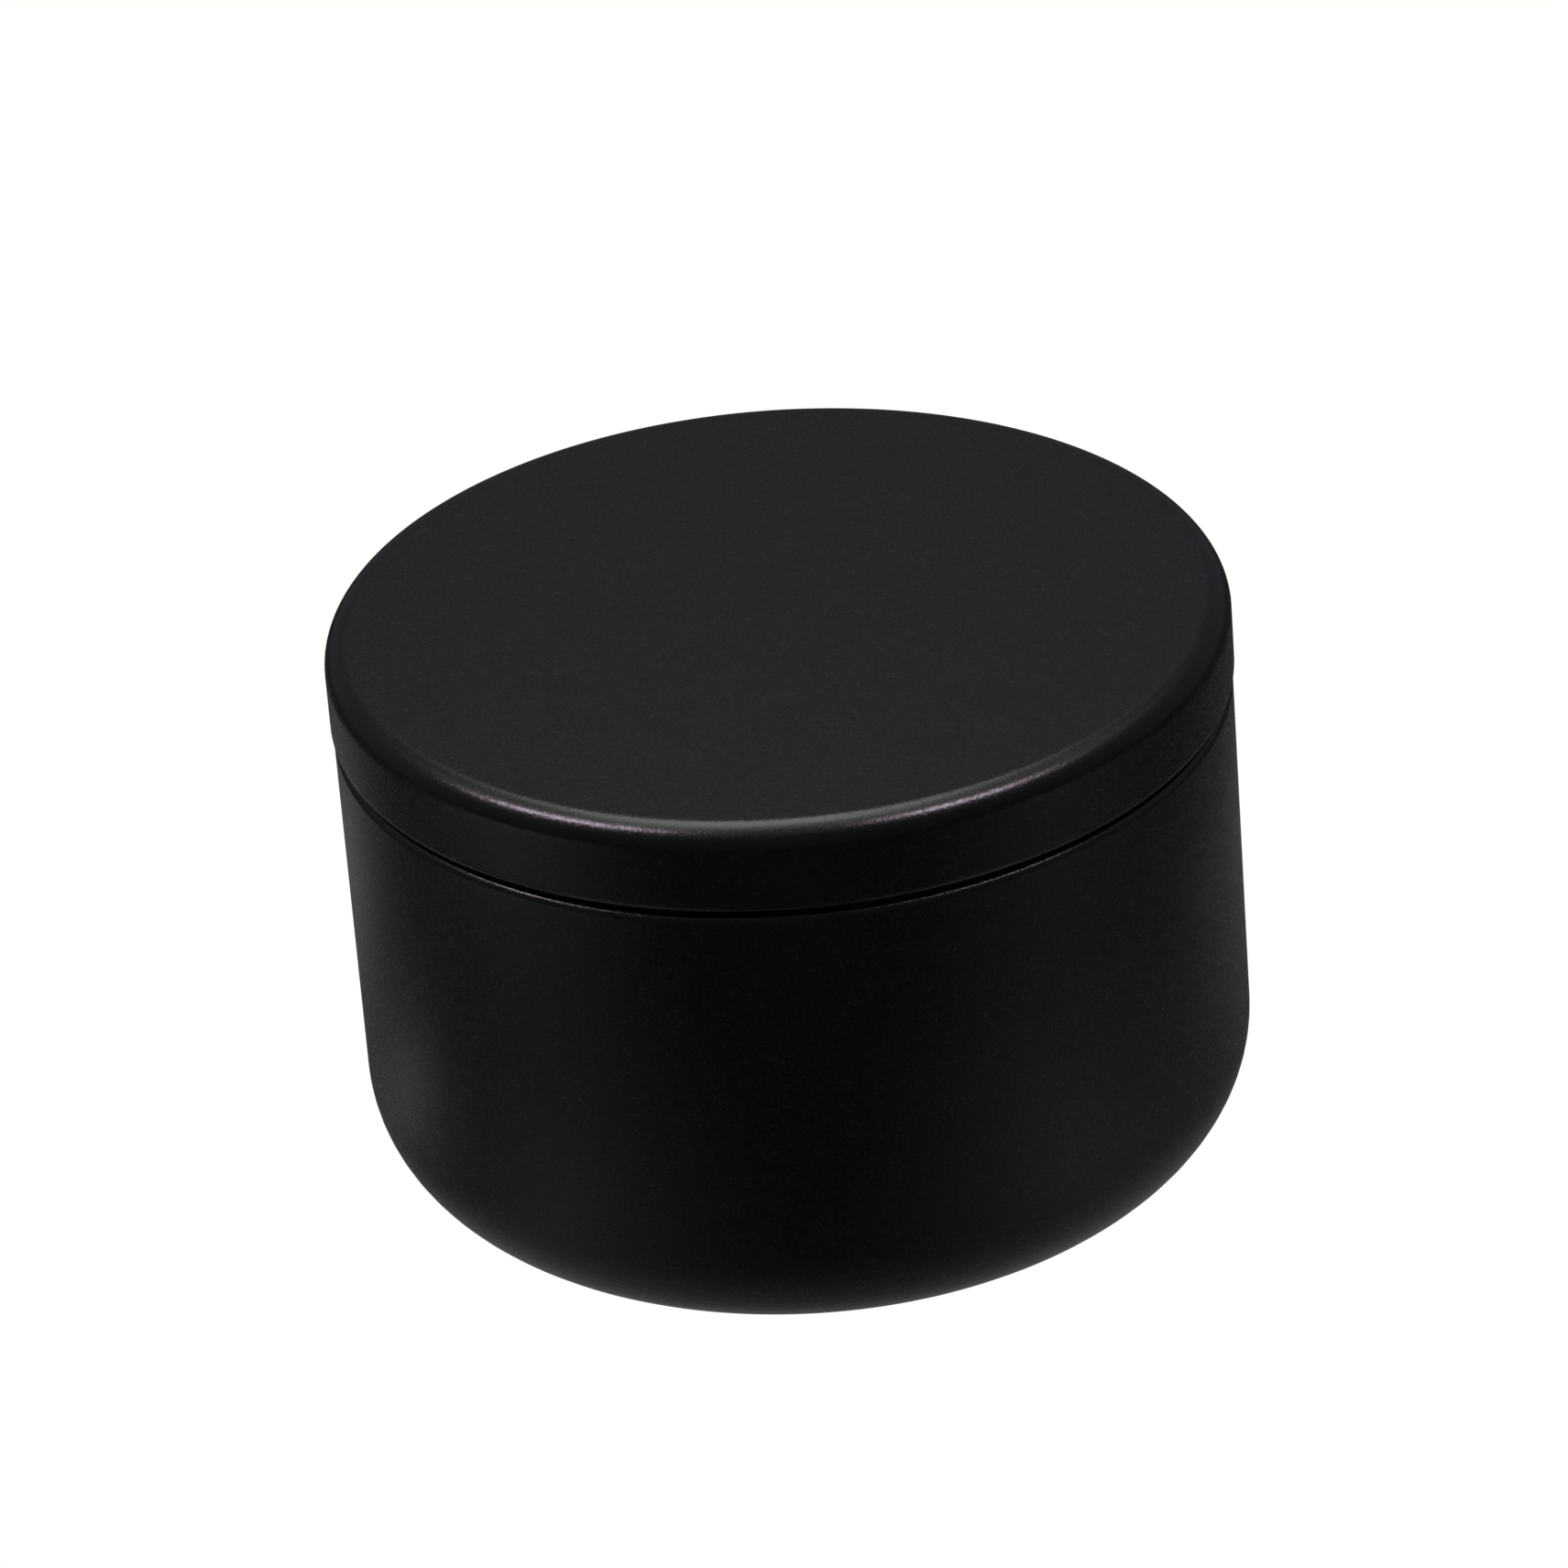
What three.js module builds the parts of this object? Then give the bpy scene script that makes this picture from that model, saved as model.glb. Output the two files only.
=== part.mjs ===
// A small round candle tin in two pieces, each drawn from one disc of thin tinplate: a seamless cup with a
// rounded base, a necked-in mouth and an inward-rolled rim, and a slip lid with a rolled skirt edge that
// slides over the neck and ends almost flush with the wall.
// Millimetres, +Z up. The origin is the middle of the plane that the standing ring rests on.

import * as THREE from "three";

// Driving dimensions. Radii and heights are those of the coated outside unless a comment says otherwise.
const SHEET = 0.25; // thickness of the tinplate
const HEIGHT = 37; // over the closed lid

const LID_RADIUS = 26.5;
const LID_EDGE_BEND = 1.5; // outside radius where the top turns down into the skirt
const SKIRT_DEPTH = 5.4; // from the top of the lid to the bottom of its rolled edge
const CURL_RADIUS = 0.6; // of the round section of the skirt's rolled edge
const CURL_SWEEP = 270; // degrees that the sheet turns through in that roll

const WALL_RADIUS = 26.375;
const NECK_RADIUS = 25.05;
const SHOULDER_BEND = 0.5; // outside radius where the wall turns in to the shoulder
const NECK_FILLET = 0.4; // hollow radius at the foot of the neck
const SHOULDER_GAP = 0.2; // between the closed lid and the flat of the shoulder under it
const LID_SEAT_GAP = 0.1; // between the rim and the underside of the closed lid
const RIM_RADIUS = 0.8; // of the rolled rim's round section
const RIM_SWEEP = 300; // degrees that the sheet turns through in that roll

const BASE_BEND = 7.66; // outside radius of the corner between wall and base
const BASE_SLOPE = 28; // degrees that the sloping part of the base rises towards the corner
const RING_OUTER = 17.2; // radii between which the standing ring is flat
const RING_INNER = 16.3;
const RING_BEND = 2; // outside radius where the ring turns up into the slope
const PANEL_RISE = 0.9; // height of the base panel above the standing plane
const PANEL_BEND = 0.6; // radius of both bends of the step from the ring up to the panel, mid-sheet
const PANEL_STEP = 60; // degrees that the step slopes

const ARC_TOLERANCE = 0.03; // the most that a facet of a bend may miss its curve by
const SEGMENTS = 64; // facets round the axis
const COAT = { color: 0x232326, roughness: 0.45, metalness: 0.1 };

const HALF = SHEET / 2;

// Points of a bend in the middle surface of the sheet, in the (radius, height) half-plane. Angles are in
// degrees from the outward direction, and turn towards +Z.
function bend(r, z, radius, from, to) {
  const start = THREE.MathUtils.degToRad(from);
  const sweep = THREE.MathUtils.degToRad(to) - start;
  const widestFacet = 2 * Math.acos(1 - ARC_TOLERANCE / radius);
  const steps = Math.ceil(Math.abs(sweep) / widestFacet);
  return Array.from({ length: steps + 1 }, (_, i) => {
    const angle = start + (sweep * i) / steps;
    return new THREE.Vector2(r + radius * Math.cos(angle), z + radius * Math.sin(angle));
  });
}

// The closed outline of a sheet whose middle surface follows a line that starts on the axis: out along its
// right-hand side, round its cut edge, and back along its left-hand side.
function sheetOutline(middle) {
  const last = middle.length - 1;
  const right = [];
  const left = [];
  middle.forEach((point, i) => {
    const leaving = middle[Math.min(i, last - 1) + 1].clone().sub(middle[Math.min(i, last - 1)]).normalize();
    const arriving = middle[Math.max(i, 1)].clone().sub(middle[Math.max(i, 1) - 1]).normalize();
    const along = arriving.clone().add(leaving).normalize();
    const reach = HALF / along.dot(leaving); // a mitre keeps the full thickness on both straights
    const across = new THREE.Vector2(along.y, -along.x).multiplyScalar(reach);
    right.push(point.clone().add(across));
    left.push(point.clone().sub(across));
  });
  return [...right, ...left.reverse()];
}

// A named piece of sheet metal turned round the axis. LatheGeometry turns round Y, so it is stood up on Z.
function drawnPiece(name, middle) {
  const geometry = new THREE.LatheGeometry(sheetOutline(middle), SEGMENTS).rotateX(Math.PI / 2);
  const piece = new THREE.Mesh(geometry, new THREE.MeshStandardMaterial(COAT));
  piece.name = name;
  return piece;
}

// The step from the middle panel down to the standing ring, as its two bends.
function panelStep() {
  const slope = THREE.MathUtils.degToRad(PANEL_STEP);
  const bendDrop = 2 * PANEL_BEND * (1 - Math.cos(slope));
  const straight = (PANEL_RISE - bendDrop) / Math.sin(slope);
  const width = 2 * PANEL_BEND * Math.sin(slope) + straight * Math.cos(slope);
  return [
    ...bend(RING_INNER - width, PANEL_RISE + HALF - PANEL_BEND, PANEL_BEND, 90, 90 - PANEL_STEP),
    ...bend(RING_INNER, HALF + PANEL_BEND, PANEL_BEND, 270 - PANEL_STEP, 270),
  ];
}

// The ring's outer bend and the corner bend, with the corner at the height where one straight slope is
// tangent to both.
function baseCorner() {
  const slope = THREE.MathUtils.degToRad(BASE_SLOPE);
  const cornerRadius = WALL_RADIUS - BASE_BEND;
  const slopeRise = Math.tan(slope) * (cornerRadius - RING_OUTER) + (BASE_BEND - RING_BEND) / Math.cos(slope);
  return [
    ...bend(RING_OUTER, RING_BEND, RING_BEND - HALF, 270, 270 + BASE_SLOPE),
    ...bend(cornerRadius, RING_BEND + slopeRise, BASE_BEND - HALF, 270 + BASE_SLOPE, 360),
  ];
}

// The bend from the wall over to the flat shoulder, and the hollow bend from there up into the neck.
function shoulder() {
  const flat = HEIGHT - SKIRT_DEPTH - SHOULDER_GAP;
  return [
    ...bend(WALL_RADIUS - SHOULDER_BEND, flat - SHOULDER_BEND, SHOULDER_BEND - HALF, 0, 90),
    ...bend(NECK_RADIUS + NECK_FILLET, flat + NECK_FILLET, NECK_FILLET + HALF, 270, 180),
  ];
}

function rolledRim() {
  const top = HEIGHT - SHEET - LID_SEAT_GAP;
  return bend(NECK_RADIUS - RIM_RADIUS, top - RIM_RADIUS, RIM_RADIUS - HALF, 0, RIM_SWEEP);
}

function tinBody() {
  const panelCentre = new THREE.Vector2(0, PANEL_RISE + HALF);
  return drawnPiece("tin_body", [panelCentre, ...panelStep(), ...baseCorner(), ...shoulder(), ...rolledRim()]);
}

function slipLid() {
  const topCentre = new THREE.Vector2(0, HEIGHT - HALF);
  const skirtEdge = HEIGHT - SKIRT_DEPTH;
  return drawnPiece("slip_lid", [
    topCentre,
    ...bend(LID_RADIUS - LID_EDGE_BEND, HEIGHT - LID_EDGE_BEND, LID_EDGE_BEND - HALF, 90, 0),
    ...bend(LID_RADIUS - CURL_RADIUS, skirtEdge + CURL_RADIUS, CURL_RADIUS - HALF, 0, -CURL_SWEEP),
  ]);
}

const candleTin = new THREE.Group();
candleTin.add(tinBody(), slipLid());

export default candleTin;
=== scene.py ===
# The looks of a small round candle tin: a drawn tinplate cup and its slip lid, both coated satin black
# outside and left as bare tinplate inside. Metres, in the CAD model's frame.

import math

import bpy
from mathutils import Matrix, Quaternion, Vector


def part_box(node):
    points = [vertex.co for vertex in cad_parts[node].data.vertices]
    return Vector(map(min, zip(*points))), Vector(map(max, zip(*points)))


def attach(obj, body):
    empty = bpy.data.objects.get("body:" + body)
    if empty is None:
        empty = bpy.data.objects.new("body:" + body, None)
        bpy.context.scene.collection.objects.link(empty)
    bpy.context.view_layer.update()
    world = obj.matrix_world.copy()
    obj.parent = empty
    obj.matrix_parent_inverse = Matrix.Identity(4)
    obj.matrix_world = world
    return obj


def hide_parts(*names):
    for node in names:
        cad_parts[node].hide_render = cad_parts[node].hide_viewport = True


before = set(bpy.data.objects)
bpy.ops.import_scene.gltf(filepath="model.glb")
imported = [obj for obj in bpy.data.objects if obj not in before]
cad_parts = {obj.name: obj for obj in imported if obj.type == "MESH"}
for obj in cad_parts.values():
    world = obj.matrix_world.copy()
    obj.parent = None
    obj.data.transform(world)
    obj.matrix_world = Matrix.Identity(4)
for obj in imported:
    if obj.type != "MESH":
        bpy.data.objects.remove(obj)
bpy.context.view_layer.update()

MM = 0.001
body_low, body_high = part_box("tin_body")
lid_low, lid_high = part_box("slip_lid")

# What the frame gives.
HEIGHT = lid_high.z
LID_RADIUS = lid_high.x
SKIRT_EDGE = lid_low.z
WALL_RADIUS = body_high.x
RIM_TOP = body_high.z

# The sheet's own details, which are those of the CAD model. Radii are those of the coated outside, but for
# PANEL_BEND, which is mid-sheet.
SHEET = 0.25 * MM
LID_EDGE_BEND = 1.5 * MM
CURL_RADIUS = 0.6 * MM
CURL_SWEEP = 270  # degrees, as all angles here are unless a name says otherwise
NECK_RADIUS = 25.05 * MM
SHOULDER_BEND = 0.5 * MM
SHOULDER_GAP = 0.2 * MM
NECK_FILLET = 0.4 * MM
RIM_RADIUS = 0.8 * MM
RIM_SWEEP = 300
BASE_BEND = 7.66 * MM
BASE_SLOPE = 28
RING_OUTER = 17.2 * MM
RING_INNER = 16.3 * MM
RING_BEND = 2 * MM
PANEL_RISE = 0.9 * MM
PANEL_BEND = 0.6 * MM
PANEL_STEP = 60
HALF = SHEET / 2

# How finely the pieces are meshed.
BEND_STEP = 5
STRAIGHT_HOLD = 0.2 * MM
SEGMENTS = 256
ON_AXIS = 1e-9  # a point no further out than this lies on the axis

# The camera. It looks from this far away at the tin's centre, and is then moved by the two aims.
CENTRE = Vector((0, 0, HEIGHT / 2))
CAMERA_ELEVATION = 29.19
CAMERA_ROLL = 4.55
CAMERA_DISTANCE = 0.536
CAMERA_SENSOR = 36  # millimetres, as is the lens
CAMERA_LENS = 207.7
AIM_RIGHT = -0.33 * MM
AIM_UP = 5.83 * MM

# The two surfaces of the sheet.
COAT_GRAIN = 0.17 * MM
COAT_GRAIN_DEPTH = 0.013 * MM
COAT_MOTTLE = 3 * MM
COAT_BLACK = (0.003, 0.003, 0.0035, 1)
COAT_LIGHTER = (0.005, 0.005, 0.0055, 1)
SPECK_SPACING = 1.3 * MM
SPECK_GREY = (0.16, 0.16, 0.16, 1)
TINPLATE_GRAIN = 0.3 * MM
TINPLATE_GRAIN_DEPTH = 0.004 * MM
TINPLATE_CLOUD = 6 * MM
TINPLATE_DULL = (0.55, 0.54, 0.52, 1)
TINPLATE_BRIGHT = (0.68, 0.67, 0.64, 1)

# The studio. Heights of lights are above the tin's centre, and their strengths are radiances, in which the
# white floor is 1.
BAND_HEIGHT = 0.6
WIDE_BAND_HEIGHT = 0.62
STRIP_HEIGHT = 0.5
STRIP_DEPTH = 0.046
SURROUND_COLOUR = (1.0, 0.98, 1.14, 1)
SURROUND_FRONT = 0.06
SURROUND_FRONT_Y = -0.7  # a direction this far to the front, or further, has the strength of the front
SURROUND_BACK = 0.11
SURROUND_BACK_Y = 0.3
FLOOR_REACH = 1.1
FLOOR_SWEEP = 0.6
FLOOR_WALL_TOP = 2.2
TABLE_REACH = 0.6
TABLE_GREY = 0.05

# What the tin stands on lies just under it, one layer above another: floor, table, patches of light.
FLOOR_DROP = 0.1 * MM
TABLE_DROP = 0.08 * MM
GLOW_DROP = 0.01 * MM
GLOW_LAYER = 0.006 * MM
GLOW_SIDES = 48


def bend(r, z, radius, start, end):
    """Points of an arc round (r, z) in the (radius, height) half-plane, by angle from the outward way."""
    steps = math.ceil(abs(end - start) / BEND_STEP)
    angles = [math.radians(start + (end - start) * i / steps) for i in range(steps + 1)]
    return [Vector((r + radius * math.cos(a), z + radius * math.sin(a))) for a in angles]


def with_straights_held(points):
    """The same line with a point near each end of its straights, so that smooth shading stays flat there."""
    held = [points[0]]
    for start, end in zip(points, points[1:]):
        along = end - start
        if along.length > 3 * STRAIGHT_HOLD:
            inset = along.normalized() * STRAIGHT_HOLD
            held += [start + inset, end - inset]
        held.append(end)
    return held


def panel_step():
    """The middle of the sheet through the two bends between the base panel and the standing ring."""
    slope = math.radians(PANEL_STEP)
    bend_drop = 2 * PANEL_BEND * (1 - math.cos(slope))
    straight = (PANEL_RISE - bend_drop) / math.sin(slope)
    width = 2 * PANEL_BEND * math.sin(slope) + straight * math.cos(slope)
    upper = bend(RING_INNER - width, PANEL_RISE + HALF - PANEL_BEND, PANEL_BEND, 90, 90 - PANEL_STEP)
    lower = bend(RING_INNER, HALF + PANEL_BEND, PANEL_BEND, 270 - PANEL_STEP, 270)
    return upper + lower


def base_corner():
    """The ring's outer bend and the large corner bend, with one straight slope tangent to both."""
    slope = math.radians(BASE_SLOPE)
    corner_radius = WALL_RADIUS - BASE_BEND
    rise = math.tan(slope) * (corner_radius - RING_OUTER) + (BASE_BEND - RING_BEND) / math.cos(slope)
    ring = bend(RING_OUTER, RING_BEND, RING_BEND - HALF, 270, 270 + BASE_SLOPE)
    corner = bend(corner_radius, RING_BEND + rise, BASE_BEND - HALF, 270 + BASE_SLOPE, 360)
    return ring + corner


def shoulder():
    """The bend over the flat shoulder and the hollow bend from there up into the neck."""
    top = SKIRT_EDGE - SHOULDER_GAP
    outer = bend(WALL_RADIUS - SHOULDER_BEND, top - SHOULDER_BEND, SHOULDER_BEND - HALF, 0, 90)
    hollow = bend(NECK_RADIUS + NECK_FILLET, top + NECK_FILLET, NECK_FILLET + HALF, 270, 180)
    return outer + hollow


def rolled_rim():
    return bend(NECK_RADIUS - RIM_RADIUS, RIM_TOP - RIM_RADIUS, RIM_RADIUS - HALF, 0, RIM_SWEEP)


def body_line():
    """The middle of the body's sheet, from the axis outwards."""
    centre = Vector((0, PANEL_RISE + HALF))
    return [centre] + panel_step() + base_corner() + shoulder() + rolled_rim()


def lid_line():
    """The middle of the lid's sheet, from the axis outwards."""
    centre = Vector((0, HEIGHT - HALF))
    edge = bend(LID_RADIUS - LID_EDGE_BEND, HEIGHT - LID_EDGE_BEND, LID_EDGE_BEND - HALF, 90, 0)
    curl = bend(LID_RADIUS - CURL_RADIUS, SKIRT_EDGE + CURL_RADIUS, CURL_RADIUS - HALF, 0, -CURL_SWEEP)
    return [centre] + edge + curl


def sheet_sides(middle):
    """The two faces of the sheet as lines beside its middle: the right-hand one, then the left-hand one."""
    right, left = [], []
    last = len(middle) - 1
    for i, point in enumerate(middle):
        leaving = (middle[min(i, last - 1) + 1] - middle[min(i, last - 1)]).normalized()
        arriving = (middle[max(i, 1)] - middle[max(i, 1) - 1]).normalized()
        along = (arriving + leaving).normalized()
        reach = HALF / along.dot(leaving)
        across = Vector((along.y, -along.x)) * reach
        right.append(point + across)
        left.append(point - across)
    return right, left


def solid_of_revolution(outline):
    """Vertices, faces and the number of the outline's side that each face comes from."""
    vertices = []
    rings = []
    for r, z in outline:
        turns = [2 * math.pi * k / SEGMENTS for k in range(SEGMENTS if r > ON_AXIS else 1)]
        rings.append([len(vertices) + k for k in range(len(turns))])
        vertices += [(r * math.cos(t), r * math.sin(t), z) for t in turns]
    faces = []
    sides = []
    for side, (first, second) in enumerate(zip(rings, rings[1:])):
        for here in range(SEGMENTS):
            there = (here + 1) % SEGMENTS
            if len(first) == 1:
                face = (first[0], second[there], second[here])
            elif len(second) == 1:
                face = (first[here], first[there], second[0])
            else:
                face = (first[here], first[there], second[there], second[here])
            faces.append(face)
            sides.append(side)
    return vertices, faces, sides


def add_mesh(name, vertices, faces, *materials):
    mesh = bpy.data.meshes.new(name)
    mesh.from_pydata(vertices, [], faces)
    for material in materials:
        mesh.materials.append(material)
    thing = bpy.data.objects.new(name, mesh)
    bpy.context.scene.collection.objects.link(thing)
    return thing


def turned_sheet(name, middle, coated_side, coat, bare):
    """A closed piece of sheet metal turned round the axis. coated_side is the coated side of the line."""
    right, left = sheet_sides(with_straights_held(middle))
    outline = right + left[::-1]
    coated = range(len(right) - 1) if coated_side == "right" else range(len(right), len(outline) - 1)
    vertices, faces, sides = solid_of_revolution(outline)
    piece = add_mesh(name, vertices, faces, coat, bare)
    piece.data.polygons.foreach_set("material_index", [0 if side in coated else 1 for side in sides])
    piece.data.shade_smooth()
    return piece


class Shader:
    """A material's nodes, made and joined with few words."""

    def __init__(self, name):
        self.material = bpy.data.materials.new(name)
        self.material.use_nodes = True
        self.tree = self.material.node_tree
        self.principled = self.tree.nodes["Principled BSDF"]
        self.place = self.node("TexCoord").outputs["Object"]

    def node(self, kind, settings=None, **inputs):
        made = self.tree.nodes.new("ShaderNode" + kind)
        for name, value in (settings or {}).items():
            setattr(made, name, value)
        for name, value in inputs.items():
            self.put(made.inputs[name.replace("_", " ")], value)
        return made

    def put(self, socket, value):
        if isinstance(value, bpy.types.NodeSocket):
            self.tree.links.new(value, socket)
        else:
            socket.default_value = value

    def noise(self, size, detail):
        """Soft noise about 0.5, whose spots are about this size in metres."""
        made = self.node("TexNoise", Vector=self.place, Scale=1 / size, Detail=detail)
        return made.outputs["Fac"]

    def spread(self, value, low, high, to_low, to_high):
        """value mapped from low..high to to_low..to_high, and held between them."""
        made = self.node("MapRange", Value=value, From_Min=low, From_Max=high, To_Min=to_low, To_Max=to_high)
        return made.outputs["Result"]

    def product(self, first, second):
        made = self.node("Math", {"operation": "MULTIPLY"})
        self.put(made.inputs[0], first)
        self.put(made.inputs[1], second)
        return made.outputs["Value"]

    def blend(self, amount, first, second):
        """A colour between two. The Mix node's sockets go by number: only those for colours are used."""
        made = self.node("Mix", {"data_type": "RGBA"})
        self.put(made.inputs["Factor"], amount)
        self.put(made.inputs[6], first)
        self.put(made.inputs[7], second)
        return made.outputs[2]

    def bump(self, height, distance, strength=1.0):
        made = self.node("Bump", Height=height, Distance=distance, Strength=strength)
        return made.outputs["Normal"]

    def finish(self, **inputs):
        """The material, with these values on its Principled node."""
        for name, value in inputs.items():
            self.put(self.principled.inputs[name.replace("_", " ")], value)
        return self.material


def black_coat():
    """Satin black stoving enamel: a very fine grain that sparkles in a highlight, and a little dust."""
    shader = Shader("black_coat")
    grain = shader.noise(COAT_GRAIN, detail=3)
    mottle = shader.noise(COAT_MOTTLE, detail=3)
    speck = shader.node("TexVoronoi", Vector=shader.place, Scale=1 / SPECK_SPACING)
    chosen = shader.spread(speck.outputs["Color"], 0.93, 0.95, 0, 1)
    near = shader.spread(speck.outputs["Distance"], 0.03, 0.07, 1, 0)
    dust = shader.product(chosen, near)
    black = shader.blend(mottle, COAT_BLACK, COAT_LIGHTER)
    return shader.finish(
        Base_Color=shader.blend(dust, black, SPECK_GREY),
        Roughness=shader.spread(grain, 0.3, 0.7, 0.21, 0.29),
        Normal=shader.bump(grain, COAT_GRAIN_DEPTH),
    )


def bare_tinplate():
    """Bright rolled tinplate, a little cloudy and finely grained."""
    shader = Shader("bare_tinplate")
    grain = shader.noise(TINPLATE_GRAIN, detail=2)
    cloud = shader.noise(TINPLATE_CLOUD, detail=3)
    return shader.finish(
        Base_Color=shader.blend(cloud, TINPLATE_DULL, TINPLATE_BRIGHT),
        Metallic=1.0,
        Roughness=shader.spread(grain, 0.3, 0.7, 0.24, 0.36),
        Normal=shader.bump(grain, TINPLATE_GRAIN_DEPTH, strength=0.5),
    )


def plain(name, colour, light):
    """A surface with no highlight, of one colour, that also gives off this much white light."""
    return Shader(name).finish(
        Base_Color=colour,
        Specular_IOR_Level=0.0,
        Emission_Color=(1, 1, 1, 1),
        Emission_Strength=light,
    )


def fading_light(name, radius, radiance):
    """Light that fades from the middle of a disc to its rim. Nothing else of the disc shows."""
    shader = Shader(name)
    scaled = shader.node("Mapping", Vector=shader.place, Scale=(1 / radius, 1 / radius, 1))
    fade = shader.node("TexGradient", {"gradient_type": "QUADRATIC_SPHERE"}, Vector=scaled.outputs["Vector"])
    emission = shader.node("Emission", Strength=shader.product(fade.outputs["Fac"], radiance))
    clear = shader.node("BsdfTransparent")
    both = shader.node("AddShader")
    shader.put(both.inputs[0], emission.outputs["Emission"])
    shader.put(both.inputs[1], clear.outputs["BSDF"])
    shader.put(shader.tree.nodes["Material Output"].inputs["Surface"], both.outputs["Shader"])
    return shader.material


def direction(azimuth, elevation):
    """A unit vector by azimuth, where 0 is the camera's side and 90 is to its right, and elevation."""
    a = math.radians(azimuth)
    e = math.radians(elevation)
    return Vector((math.sin(a) * math.cos(e), -math.cos(a) * math.cos(e), math.sin(e)))


def softbox(name, towards, height, width, depth, radiance, turn=0, colour=(1, 1, 1)):
    """A level rectangle of even light above the tin, in the direction given, turned about the upright."""
    light = bpy.data.lights.new(name, "AREA")
    light.shape = "RECTANGLE"
    light.size = width
    light.size_y = depth
    light.energy = radiance * math.pi * width * depth
    light.color = colour
    box = bpy.data.objects.new(name, light)
    box.location = CENTRE + towards * (height / towards.z)
    box.rotation_euler.z = math.radians(turn)
    box.visible_camera = False
    bpy.context.scene.collection.objects.link(box)


def overhead_light():
    """A light that is brightest towards the back, and dims towards the front and the sides."""
    softbox("back_band", direction(-176, 60.2), BAND_HEIGHT, width=0.28, depth=0.50, radiance=2.4)
    softbox("wide_band", direction(180, 71.5), WIDE_BAND_HEIGHT, width=1.1, depth=0.46, radiance=0.36)
    softbox("middle_band", direction(-90, 84.3), BAND_HEIGHT, width=0.50, depth=0.17, radiance=0.70)
    softbox("front_band", direction(0, 70), BAND_HEIGHT, width=0.7, depth=0.26, radiance=0.16)


def corner_strips():
    """A narrow bright strip above each front corner, for the streaks along the lid's edge."""
    # Name, azimuth, elevation, width, strength, turn, colour.
    strips = (
        ("left_strip", -84, 55.5, 0.30, 36, -37, (1.0, 0.83, 0.97)),
        ("right_strip", 66, 61.5, 0.22, 31, 30, (1.0, 0.82, 0.97)),
    )
    for name, azimuth, elevation, width, radiance, turn, colour in strips:
        softbox(name, direction(azimuth, elevation), STRIP_HEIGHT, width, STRIP_DEPTH, radiance, turn, colour)


def surround():
    """Dim light from everywhere, dimmer in front than at the sides and the back."""
    world = bpy.data.worlds.new("studio")
    world.use_nodes = True
    nodes = world.node_tree.nodes
    links = world.node_tree.links
    place = nodes.new("ShaderNodeTexCoord")
    axes = nodes.new("ShaderNodeSeparateXYZ")
    strength = nodes.new("ShaderNodeMapRange")
    strength.inputs["From Min"].default_value = SURROUND_FRONT_Y
    strength.inputs["From Max"].default_value = SURROUND_BACK_Y
    strength.inputs["To Min"].default_value = SURROUND_FRONT
    strength.inputs["To Max"].default_value = SURROUND_BACK
    background = nodes["Background"]
    background.inputs["Color"].default_value = SURROUND_COLOUR
    links.new(place.outputs["Generated"], axes.inputs["Vector"])
    links.new(axes.outputs["Y"], strength.inputs["Value"])
    links.new(strength.outputs["Result"], background.inputs["Strength"])
    bpy.context.scene.world = world


def pale_floor():
    """A white floor that curves up into a wall all round, lit evenly by itself. Only the camera sees it."""
    middle = Vector((0, 0))
    curve_start = Vector((FLOOR_REACH, 0))
    curve = bend(FLOOR_REACH, FLOOR_SWEEP, FLOOR_SWEEP, 270, 360)
    wall_top = Vector((FLOOR_REACH + FLOOR_SWEEP, FLOOR_WALL_TOP))
    outline = [middle, curve_start] + curve + [wall_top]
    vertices, faces, _ = solid_of_revolution(outline)
    floor = add_mesh("floor", vertices, faces, plain("white_floor", (0, 0, 0, 1), 1.0))
    floor.location.z = -FLOOR_DROP
    floor.visible_glossy = False
    floor.visible_diffuse = False
    floor.visible_shadow = False


def table():
    """The surface the tin stands on, as the tin sees it. The camera sees the white floor in its place."""
    across = (-TABLE_REACH, TABLE_REACH)
    corners = [(x, y, 0) for x in across for y in across]
    grey = plain("table_top", (TABLE_GREY, TABLE_GREY, TABLE_GREY, 1), 0.0)
    top = add_mesh("table", corners, [(0, 2, 3, 1)], grey)
    top.location.z = -TABLE_DROP
    top.visible_camera = False


def glow(name, azimuth, away, radius, radiance, drop):
    """A soft round patch of light just over the table, centred this far from the tin's axis."""
    turns = [2 * math.pi * k / GLOW_SIDES for k in range(GLOW_SIDES)]
    rim = [(radius * math.cos(t), radius * math.sin(t), 0) for t in turns]
    patch = add_mesh(name, rim, [tuple(range(GLOW_SIDES))], fading_light(name, radius, radiance))
    patch.location = direction(azimuth, 0) * away
    patch.location.z = -drop
    patch.visible_camera = False


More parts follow.
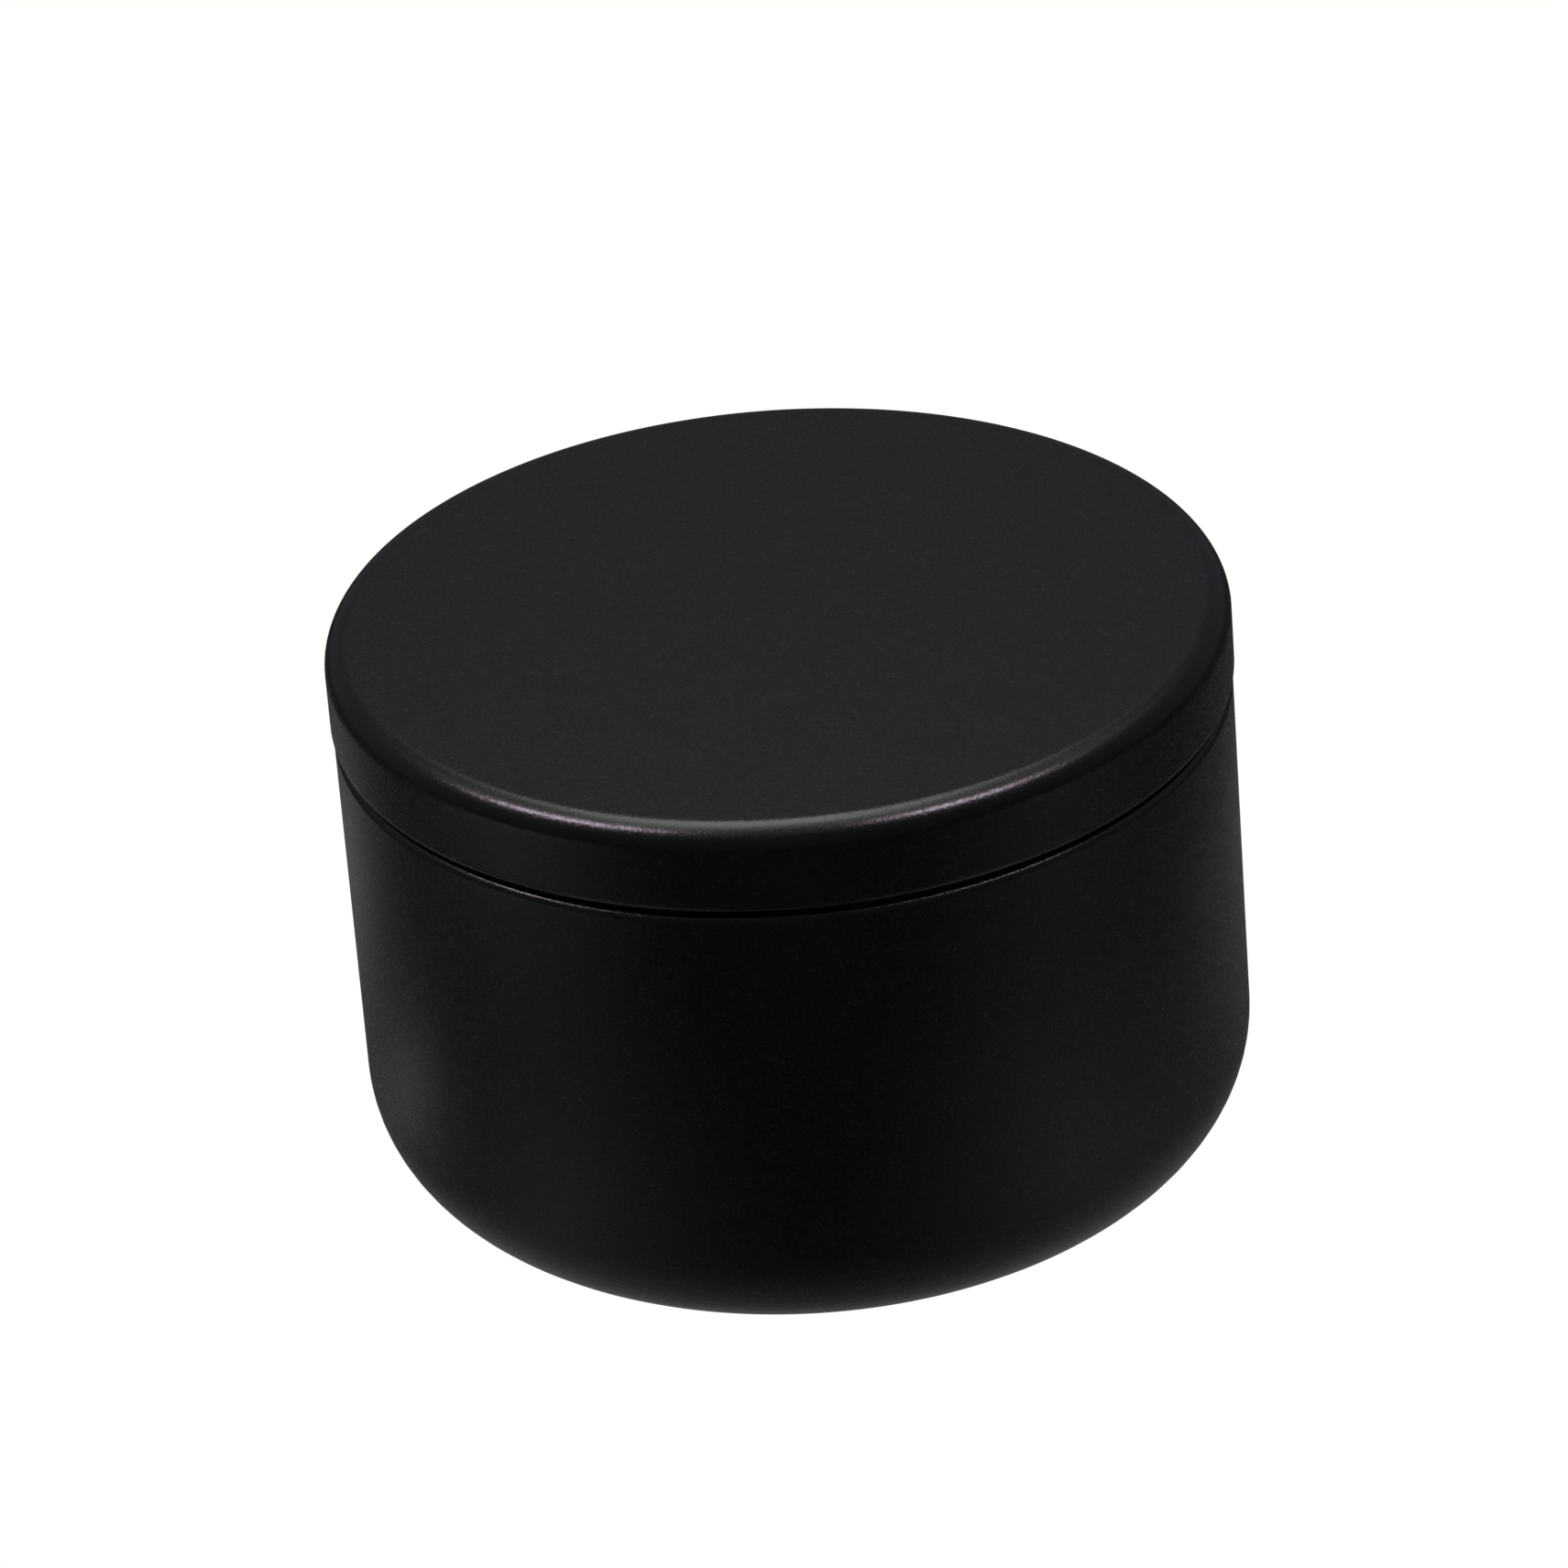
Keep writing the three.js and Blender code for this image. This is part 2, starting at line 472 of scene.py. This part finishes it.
def table_light():
    """The uneven light on the table, which the tin's wall mirrors."""
    # Name, azimuth, distance of the middle from the axis, radius, strength.
    patches = (
        ("foot", 0, 0.000, 0.036, 0.80),
        ("front", 0, 0.100, 0.055, 0.035),
        ("left_front", -48, 0.040, 0.040, 0.20),
        ("right_front", 47, 0.042, 0.045, 0.21),
        ("left", -92, 0.042, 0.018, 0.22),
        ("left_far", -64, 0.115, 0.080, 0.45),
        ("right_far", 60, 0.115, 0.080, 0.25),
        ("left_back", -128, 0.060, 0.058, 0.17),
        ("right_side", 102, 0.050, 0.050, 0.08),
        ("right_back", 140, 0.050, 0.045, 0.08),
    )
    for layer, (name, azimuth, away, radius, radiance) in enumerate(patches):
        glow("glow_" + name, azimuth, away, radius, radiance, GLOW_DROP + GLOW_LAYER * layer)


def camera():
    """A long lens from above the front, with the tin a little below the middle of the picture."""
    data = bpy.data.cameras.new("camera")
    data.lens = CAMERA_LENS
    data.sensor_width = CAMERA_SENSOR
    data.clip_start = 0.05
    data.clip_end = 10
    view = bpy.data.objects.new("camera", data)
    back = direction(0, CAMERA_ELEVATION)
    level = (-back).to_track_quat("-Z", "Y")
    view.location = CENTRE + back * CAMERA_DISTANCE + level @ Vector((AIM_RIGHT, AIM_UP, 0))
    view.rotation_mode = "QUATERNION"
    view.rotation_quaternion = level @ Quaternion((0, 0, 1), math.radians(-CAMERA_ROLL))
    bpy.context.scene.collection.objects.link(view)
    bpy.context.scene.camera = view


def tin_body(coat, bare):
    shell = turned_sheet("tin_body_shell", body_line(), "right", coat, bare)
    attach(shell, "tin")
    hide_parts("tin_body")


def slip_lid(coat, bare):
    shell = turned_sheet("slip_lid_shell", lid_line(), "left", coat, bare)
    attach(shell, "lid")
    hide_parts("slip_lid")


camera()
overhead_light()
corner_strips()
surround()
pale_floor()
table()
table_light()

coat = black_coat()
bare = bare_tinplate()
tin_body(coat, bare)
slip_lid(coat, bare)

bpy.context.scene.view_settings.view_transform = "Standard"
bpy.context.scene.view_settings.look = "None"
